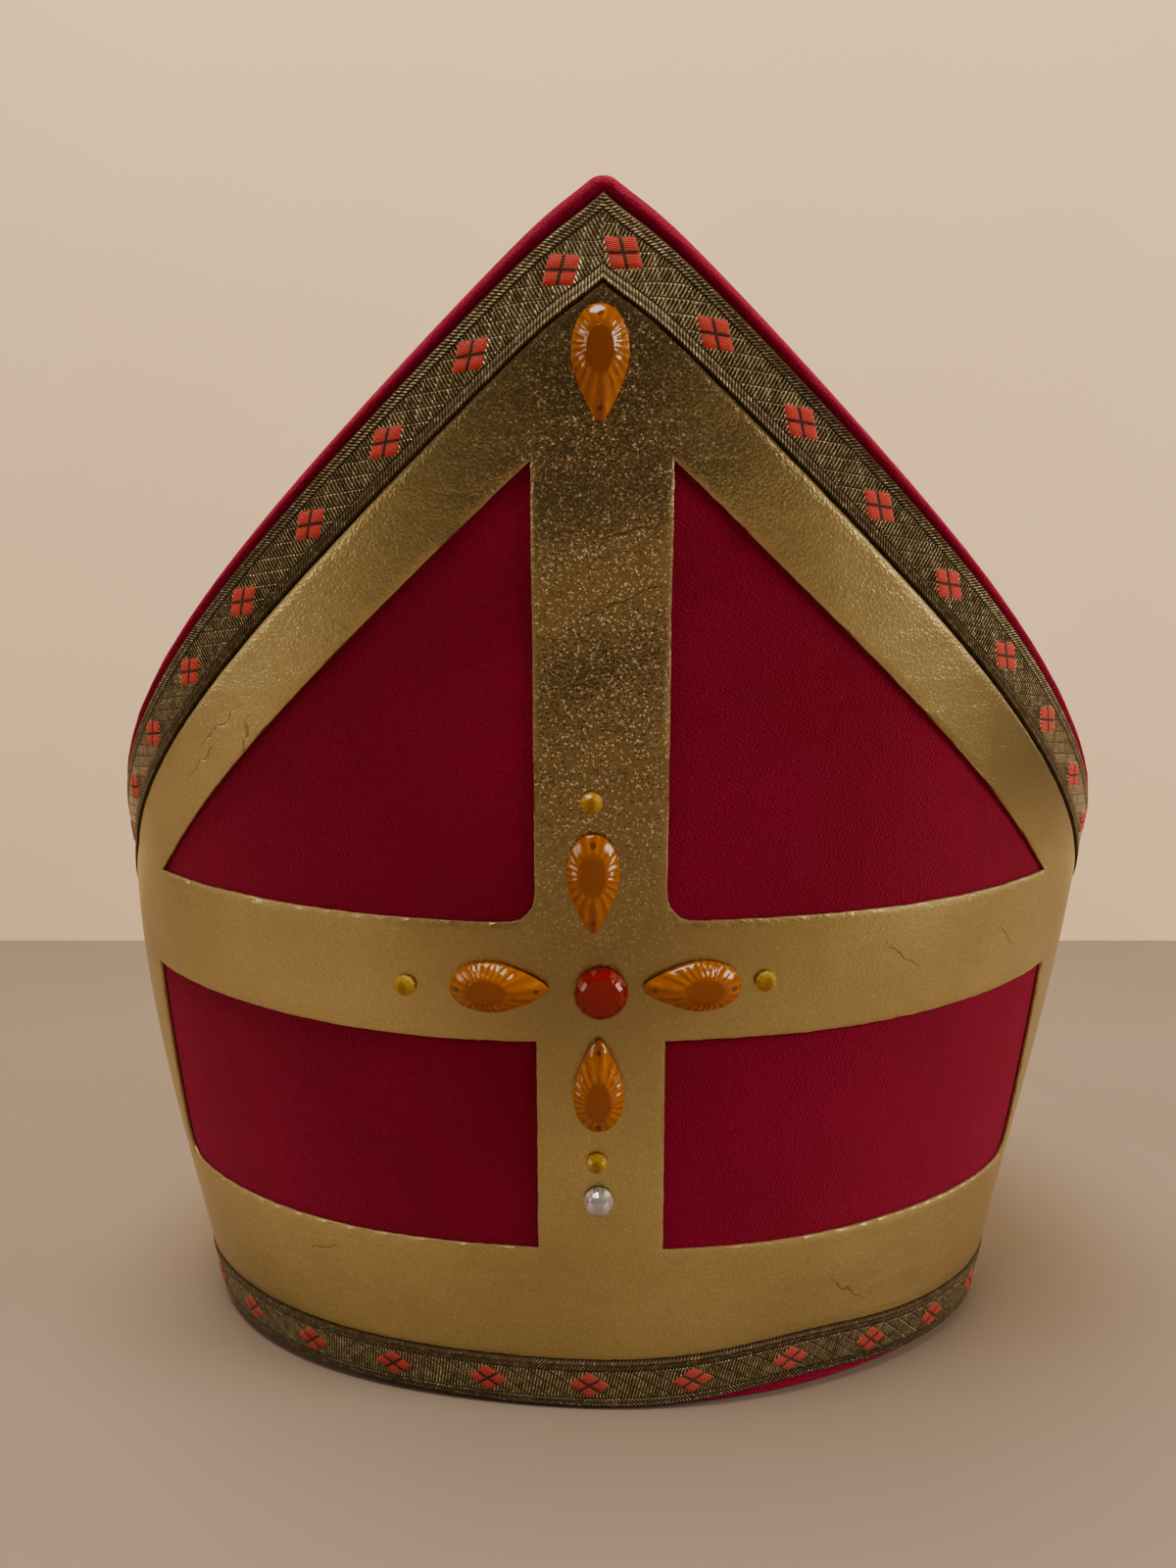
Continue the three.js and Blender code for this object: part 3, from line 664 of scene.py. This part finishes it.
def braid_finish(name, silk_low, silk_high):
    finish = Finish(name, Specular_IOR_Level=0.5)
    along, across = finish.pattern()
    shift = (along + REPEAT * 500) % (REPEAT * 1000) - REPEAT * 500
    one = shift / (LOZENGE_HALF_LENGTH * 1000) + across / (LOZENGE_HALF_WIDTH * 1000)
    two = shift / (LOZENGE_HALF_LENGTH * 1000) - across / (LOZENGE_HALF_WIDTH * 1000)
    reach = abs(one).math("MAXIMUM", abs(two))
    nearest = abs(one).math("MINIMUM", abs(two))
    lozenge = reach.between(1.06, 0.98)
    cross = nearest.between(0.15, 0.08) * lozenge
    lattice_one = abs((one + 0.5) % 1.0 - 0.5).between(0.10, 0.045)
    lattice_two = abs((two + 0.5) % 1.0 - 0.5).between(0.07, 0.03)
    border = abs(across).between(3.55, 3.65)
    inner_seam = abs(abs(across) - 3.6).between(0.22, 0.10)
    outer_seam = abs(abs(across) - 4.8).between(0.16, 0.06) * 0.6
    seam = inner_seam.math("MAXIMUM", outer_seam)
    lattice = lattice_one.math("MAXIMUM", lattice_two * 0.6) * (1 - border) * (1 - lozenge)
    thread_place = (along - 0.22 * across) / 0.78
    twill_place = (along - abs(across) * 0.9) / 0.84
    thread = thread_place.wave() * (1 - border) + twill_place.wave() * border
    spin = finish.spot(thread_place.math("FLOOR") * 0.37, across * 0.30, border * 3)
    # Each thread is painted lighter or darker in long waves across the braid: a painted glint.
    painted_thread_glint = finish.noise(spin, 1.0, 2, 0.7).between(0.35, 0.75)
    painted_glint_and_bump = finish.grains(finish.spot(along * 1.6, across * 1.4, 0), 1.0).between(0.74, 0.95)
    gilt = thread ** 1.5 * (1 - 0.45 * border)
    dark = finish.blend(painted_thread_glint, (0.024, 0.018, 0.009, 1), (0.060, 0.047, 0.023, 1))
    bright = finish.blend(painted_thread_glint ** 1.3, (0.30, 0.240, 0.110, 1), (1.0, 0.88, 0.52, 1))
    # Bright flecks on the threads are painted glints; the same flecks are also raised in the relief
    # below.
    bright = finish.blend(painted_glint_and_bump * thread * (0.70 + 0.30 * border), bright, (1.0, 0.90, 0.64, 1))
    bright = finish.blend(border * (1 - painted_glint_and_bump * 0.8) * 0.7, bright, (0.30, 0.205, 0.105, 1))
    colour = finish.blend(gilt, dark, bright)
    # The braid's outer edges are painted dark: thread ends, and painted shade where the braid turns
    # down to the velvet.
    rim = abs(across).between(5.45, 5.85)
    colour = finish.blend(rim * 0.8, colour, (0.055, 0.038, 0.018, 1))
    colour = finish.blend(lattice.math("MAXIMUM", seam) * 0.85, colour, (0.022, 0.012, 0.006, 1))
    silk_thread = ((along * 0.55 + across) / 0.42).wave()
    silk = finish.blend(silk_thread, silk_low, silk_high)
    colour = finish.blend(lozenge, colour, silk)
    colour = finish.blend(cross, colour, (0.035, 0.006, 0.004, 1))
    bare = (1 - lozenge) * (1 - lattice * 0.7)
    height = thread * (1 - lozenge) * 0.8 + silk_thread * lozenge * 0.5 - lattice * 0.5 - seam * 0.8
    relief = finish.relief(height, 0.00035, 0.8)
    relief = finish.relief(painted_glint_and_bump, 0.0002, 0.45, relief)
    roughness = 0.21 + 0.42 * lozenge + 0.2 * lattice + 0.16 * border + 0.3 * rim
    return finish.done(Base_Color=colour, Metallic=bare * 0.85, Roughness=roughness, Normal=relief)


def along_edge(spots, middle):
    """Braid chart: distance from the peak along the edge, and from the braid's middle."""
    inset = inset_at(spots[:, 0], spots[:, 1])
    along = np.abs(spots[:, 0]) * math.cos(SLOPE) + (PEAK - spots[:, 1]) * math.sin(SLOPE)
    first = np.where(middle[:, 0] > 0, FIRST_LOZENGE["right"], FIRST_LOZENGE["left"])
    return np.stack([along - first, inset - BRAID_INSET - BRAID_WIDTH / 2], 1)


def edge_braid(half, material):
    piece = flat_panel(f"{half}_edge_weave", columns=760, rows=30,
                       foot=lambda ray: slant_reach(ray, BRAID_INSET + BRAID_WIDTH),
                       head=lambda ray: slant_reach(ray, BRAID_INSET), bunch=0.0)
    work(piece, "SOLIDIFY", thickness=BRAID_THICKNESS, offset=-1)
    name_pattern(piece, along_edge)
    spots = spots_of(piece)
    chart = along_edge(spots, spots)
    top = spots[:, 2] > -BRAID_THICKNESS / 2
    spots[:, 2] += GOLD_CLEARANCE + BRAID_THICKNESS + top * woven_face(chart[:, 0], chart[:, 1])
    put_spots(piece, spots)
    fold_piece(piece, half)
    smooth(piece, 50)
    piece.data.materials.append(material)
    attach(piece, "root")
    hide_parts(f"{half}_edge_braid")


braid = braid_finish("woven_metal_braid", (0.50, 0.018, 0.012, 1), (0.86, 0.060, 0.034, 1))
for half in HALVES:
    edge_braid(half, braid)


# --- The hem braid ------------------------------------------------------------------------------
# The same braid goes once round the hem, over the gold's foot, and its ends butt at one side. A
# thin strip of velvet shows below it where it was sewn a little high.
HEM_LOZENGE = -0.0026
HEM_GAP = math.radians(0.08)
HEM_TRACK = np.radians(np.arange(90, 450.01, 0.5))


def hem_ring(turn, height, out):
    """A point of the wall at any turn, from 0 at the front to a whole turn."""
    foot, ray, outwards = wall_lines(turn)
    return foot + ray * (height / FLARE_DEPTH)[:, None] + outwards * out[:, None]


def hem_sway(turn, height):
    """The same soft waves as the panel's, so that the braid lies on it."""
    spread = np.interp(turn_in_half(turn), turns, spreads)
    reach = level_reach(spread, height)
    return sway(reach * np.sin(spread), reach * np.cos(spread) - FRONT_SLANT)


def hem_braid(material):
    piece = new_grid("hem_weave", columns=1040, rows=28)
    spots = spots_of(piece)
    track = np.zeros(len(HEM_TRACK))
    ring = hem_ring(HEM_TRACK, 0 * HEM_TRACK + BRAID_WIDTH / 2, 0 * HEM_TRACK)
    track[1:] = np.cumsum(np.linalg.norm(np.diff(ring, axis=0), axis=1))
    track -= np.interp(2 * math.pi, HEM_TRACK, track)
    turn = math.pi / 2 + HEM_GAP + (spots[:, 0] + 1) * (math.pi - HEM_GAP)
    put_spots(piece, np.stack([turn, spots[:, 1] * BRAID_WIDTH / 2, 0 * turn], 1))

    def along_hem(corner, middle):
        return np.stack([np.interp(corner[:, 0], HEM_TRACK, track) - HEM_LOZENGE, corner[:, 1]], 1)

    name_pattern(piece, along_hem)
    work(piece, "SOLIDIFY", thickness=BRAID_THICKNESS, offset=-1)
    spots = spots_of(piece)
    turn, across = spots[:, 0], spots[:, 1]
    top = spots[:, 2] > -BRAID_THICKNESS / 2
    along = np.interp(turn, HEM_TRACK, track) - HEM_LOZENGE
    out = spots[:, 2] + GOLD_CLEARANCE + BRAID_THICKNESS + top * woven_face(along, across)
    height = hem_foot(turn) + across + BRAID_WIDTH / 2
    put_spots(piece, settled(hem_ring(turn, height, out + hem_sway(turn, height))))
    smooth(piece, 50)
    piece.data.materials.append(material)
    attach(piece, "root")
    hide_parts("hem_braid")


# The hem braid's lozenges are a darker red than the edge braids'.
hem_braid(braid_finish("darker_hem_braid", (0.34, 0.020, 0.013, 1), (0.56, 0.050, 0.032, 1)))


# --- The glued stones ---------------------------------------------------------------------------
# Moulded acrylic stones with flat backs, glued on the front cross: fluted amber pears round a red
# one, four small amber ones at the ends, and a pearl below.
STONE_REST = GOLD_THICKNESS + 2 * GOLD_CLEARANCE
PEAR_LENGTH, PEAR_WIDTH, PEAR_GIRDLE = 0.022, 0.0115, 0.0012
PEAR_TABLE, PEAR_FLUTES, FLUTE_DEPTH = (0, 0.0026), 22, 0.00034
ROUND_RADIUS, SMALL_RADIUS, PEARL_RADIUS = 0.006, 0.0025, 0.0035
STONES = [
    # name, form, across, up, turn in degrees
    ("top_pear_stone", "pear", -0.0005, 0.2393, 0),
    ("upper_pear_stone", "pear", -0.0018, 0.1320, 0),
    ("left_pear_stone", "pear", -0.0226, 0.1077, 90),
    ("right_pear_stone", "pear", 0.0203, 0.1077, -90),
    ("lower_pear_stone", "pear", -0.0005, 0.0844, 180),
    ("centre_round_stone", "round", 0.0, 0.1065, 0),
    ("upper_small_stone", "small", -0.0022, 0.1499, 0),
    ("left_small_stone", "small", -0.0441, 0.1068, 0),
    ("right_small_stone", "small", 0.0372, 0.1080, 0),
    ("lower_small_stone", "small", -0.0009, 0.0651, 0),
    ("pearl", "pearl", -0.0005, 0.0556, 0),
]


def blank(sides, radius, girdle):
    """A short cylinder on its flat back, alone in the selection and in edit mode, top picked."""
    deselect()
    bpy.ops.mesh.primitive_cylinder_add(vertices=sides, radius=radius, depth=girdle,
                                        location=(0, 0, girdle / 2))
    piece = bpy.context.object
    bpy.ops.object.transform_apply(location=True)
    bpy.ops.object.mode_set(mode="EDIT")
    bpy.ops.mesh.select_all(action="DESELECT")
    bpy.ops.object.mode_set(mode="OBJECT")
    for face in piece.data.polygons:
        face.select = face.normal.z > 0.9
    bpy.ops.object.mode_set(mode="EDIT")
    return piece


def crown_rings(rings, centre=(0, 0)):
    """Draws the picked top up and in, ring by ring; each ring is (share of the last, rise)."""
    for share, rise in rings:
        bpy.ops.mesh.extrude_region_move(TRANSFORM_OT_translate={"value": (0, 0, rise)})
        bpy.ops.transform.resize(value=(share, share, 1), center_override=(*centre, 0))
    bpy.ops.object.mode_set(mode="OBJECT")


def pear_blank():
    """Round head up, point down: flutes run out from a smooth egg-shaped table."""
    piece = blank(144, PEAR_WIDTH / 2, PEAR_GIRDLE)
    bpy.ops.object.mode_set(mode="OBJECT")
    spots = spots_of(piece)
    angle = np.arctan2(spots[:, 0], spots[:, 1])
    low = np.clip(-np.cos(angle), 0, 1)
    narrowing = (1 - 0.40 * low ** 1.4) * (1 + 0.06 * np.cos(angle))
    spots[:, 0] = PEAR_WIDTH / 2 * np.sin(angle) * narrowing
    spots[:, 1] = PEAR_LENGTH / 2 * np.cos(angle) + 0.0012 * np.sin(angle) ** 2
    put_spots(piece, spots)
    bpy.ops.object.mode_set(mode="EDIT")
    crown_rings([(0.97, 0.0003), (0.92, 0.0006), (0.90, 0.0006), (0.87, 0.0005), (0.84, 0.0004),
                 (0.84, 0.0003), (0.96, 0.0001), (0.5, 0.0001)], PEAR_TABLE)
    spots = spots_of(piece)
    angle = np.arctan2(spots[:, 0] - PEAR_TABLE[0], spots[:, 1] - PEAR_TABLE[1])
    height = spots[:, 2]
    crown = np.clip((height - 0.0014) / 0.0006, 0, 1) * np.clip((0.0038 - height) / 0.0004, 0, 1)
    flute = 1 - np.abs(np.sin(angle * PEAR_FLUTES / 2))
    past_head = np.clip((np.abs(angle) - 0.5) / 0.2, 0, 1)
    spots[:, 2] -= FLUTE_DEPTH * crown * flute * past_head
    put_spots(piece, spots)
    return piece


def round_blank():
    """Sixteen facets rise in steps to an almost flat table."""
    piece = blank(16, ROUND_RADIUS, 0.0012)
    crown_rings([(0.97, 0.0004), (0.88, 0.0012), (0.85, 0.0007), (0.62, 0.0003), (0.3, 0.0001)])
    return piece


def small_blank():
    piece = blank(10, SMALL_RADIUS, 0.0006)
    crown_rings([(0.88, 0.0006), (0.72, 0.0007), (0.50, 0.0003)])
    return piece


def pearl_blank():
    piece = blank(14, PEARL_RADIUS, 0.0008)
    crown_rings([(0.92, 0.0010), (0.80, 0.0011), (0.62, 0.0007), (0.4, 0.0002)])
    return piece


def stone_finish(name, table_up, table_reach, deep, glow, pale, **constants):
    """Clear moulded acrylic over its silvered back: deep in the table, with painted light and
    painted highlight streaks along the flutes.
    """
    finish = Finish(name, IOR=1.49, **constants)
    side, up = finish.pattern()
    from_table = up - table_up
    turn = side.math("ARCTAN2", from_table)
    reach = (side * side + from_table * from_table * 0.42) ** 0.5
    table = reach.between(table_reach + 0.2, table_reach - 0.2)
    streak = abs((turn * (PEAR_FLUTES / 2)).math("SINE"))
    cloud = finish.noise(finish.place(), 500, 2).between(0.35, 0.7)

    def sewing_hole(height, outer, inner):
        off = up - height
        return ((side * side + off * off) ** 0.5).between(outer, inner)

    holes = sewing_hole(9.1, 0.85, 0.6).math("MAXIMUM", sewing_hole(-8.7, 0.65, 0.45))
    colour = finish.blend(cloud * 0.2, deep, glow)
    # Off the table the colour is painted light along the flutes (painted shade on the ruby), and
    # the streaks on the flute ridges are painted highlights.
    colour = finish.blend((1 - table) * (0.35 + 0.65 * streak), colour, glow)
    colour = finish.blend((1 - table) * streak ** 8 * cloud * 0.6, colour, pale)
    # The sewing holes are only painted, as darker spots: painted shade in the holes.
    colour = finish.blend(holes * 0.8, colour, tuple(0.35 * part for part in deep[:3]) + (1,))
    relief = finish.relief(cloud, 0.0003, 0.12)
    return finish.done(Base_Color=colour, Normal=relief, Roughness=0.09 + 0.05 * cloud)


stone_forms = {"pear": pear_blank, "round": round_blank, "small": small_blank, "pearl": pearl_blank}
amber = stone_finish("amber_acrylic", PEAR_TABLE[1] * 1000, 3.2, (0.41, 0.113, 0.0004, 1),
                     (0.58, 0.172, 0.0006, 1), (0.95, 0.45, 0.03, 1),
                     Transmission_Weight=0.5, Specular_IOR_Level=0.4)
topaz = stone_finish("yellow_acrylic", 0, 0.9, (0.40, 0.21, 0.004, 1), (0.66, 0.38, 0.012, 1),
                     (0.95, 0.75, 0.20, 1), Transmission_Weight=0.5)
ruby = stone_finish("ruby_acrylic", 0, 4.4, (0.44, 0.006, 0.002, 1), (0.24, 0.003, 0.001, 1),
                    (0.60, 0.05, 0.02, 1), Transmission_Weight=0.55, Specular_IOR_Level=0.3)
pearl = stone_finish("pearl_coat", 0, 1.2, (0.42, 0.41, 0.42, 1), (0.62, 0.61, 0.62, 1),
                     (0.9, 0.9, 0.9, 1), Metallic=0.7)
stone_materials = {"pear": amber, "round": ruby, "small": topaz, "pearl": pearl}


def glue(name, form, across, up, turn):
    """Cuts one stone and stands its flat back on the gold, facing out."""
    piece = stone_forms[form]()
    name_pattern(piece, lambda corner, middle: corner[:, :2])
    piece.name = piece.data.name = f"{name}_cut"
    step = 0.001
    spots = folded(np.array([across, across, across]), np.array([up, up + step, up]),
                   np.array([STONE_REST, STONE_REST, STONE_REST + step]))
    place = Vector(spots[0])
    outwards = (Vector(spots[2]) - place).normalized()
    upwards = Vector(spots[1]) - place
    upwards = (upwards - outwards * upwards.dot(outwards)).normalized()
    sideways = upwards.cross(outwards)
    stand = Matrix((sideways, upwards, outwards)).transposed().to_4x4()
    stand.translation = place
    piece.matrix_world = stand @ Matrix.Rotation(math.radians(turn), 4, "Z")
    pick(piece)
    bpy.ops.object.transform_apply(location=True, rotation=True, scale=True)
    smooth(piece, 12)
    piece.data.materials.append(stone_materials[form])
    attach(piece, "root")
    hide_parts(name)


for row in STONES:
    glue(*row)


# --- Floor, light and camera --------------------------------------------------------------------
# A pale floor and a plain wall behind it, broad soft light from above and from the right, a
# little from the left, and a wide lens close in front of the mitre.
STAGE_SIZE, WALL_BEHIND = 24, 0.62
WARM = (1.0, 0.86, 0.70)
LENS_LENGTH, SENSOR_WIDTH = 26.16, 36
CAMERA_PLACE, CAMERA_TILT = (-0.0029, -0.3577, 0.1568), 90 - 1.29


def stage_finish(name, low, high):
    finish = Finish(name, Roughness=0.7, Specular_IOR_Level=0.3)
    cloud = finish.noise(finish.place(), 3, 3).between(0.3, 0.7)
    return finish.done(Base_Color=finish.blend(cloud, low, high))


deselect()
bpy.ops.mesh.primitive_plane_add(size=STAGE_SIZE, location=(0, 0, 0))
floor = bpy.context.object
floor.name = "floor"
floor_finish = stage_finish("pale_floor", (0.240, 0.196, 0.156, 1), (0.268, 0.219, 0.176, 1))
floor.data.materials.append(floor_finish)

bpy.ops.mesh.primitive_plane_add(size=STAGE_SIZE, location=(0, WALL_BEHIND, 0),
                                 rotation=(math.radians(90), 0, 0))
wall = bpy.context.object
wall.name = "wall"
wall.data.materials.append(stage_finish("pale_wall", (0.84, 0.63, 0.40, 1), (0.88, 0.67, 0.43, 1)))


def soft_light(name, place, aim, size, power, colour):
    light = bpy.data.lights.new(name, "AREA")
    light.shape, light.size, light.energy, light.color = "DISK", size, power, colour
    lamp = bpy.data.objects.new(name, light)
    lamp.location = place
    lamp.rotation_euler = (Vector(aim) - Vector(place)).to_track_quat("-Z", "Y").to_euler()
    bpy.context.scene.collection.objects.link(lamp)


soft_light("ceiling_light", (-0.25, -0.35, 1.9), (0, 0.05, 0.1), 1.1, 46, WARM)
soft_light("left_light", (-1.5, -0.55, 0.7), (0, 0, 0.12), 0.9, 9, WARM)
soft_light("right_light", (1.6, -0.6, 0.8), (0, 0, 0.12), 0.9, 29, WARM)

world = bpy.data.worlds.new("room")
world.use_nodes = True
room_light = world.node_tree.nodes["Background"]
room_light.inputs["Color"].default_value = (0.75, 0.62, 0.46, 1)
room_light.inputs["Strength"].default_value = 0.16
bpy.context.scene.world = world

lens = bpy.data.cameras.new("camera")
lens.lens, lens.sensor_width = LENS_LENGTH, SENSOR_WIDTH
camera = bpy.data.objects.new("camera", lens)
camera.location = CAMERA_PLACE
camera.rotation_euler = (math.radians(CAMERA_TILT), 0, 0)
bpy.context.scene.collection.objects.link(camera)
bpy.context.scene.camera = camera
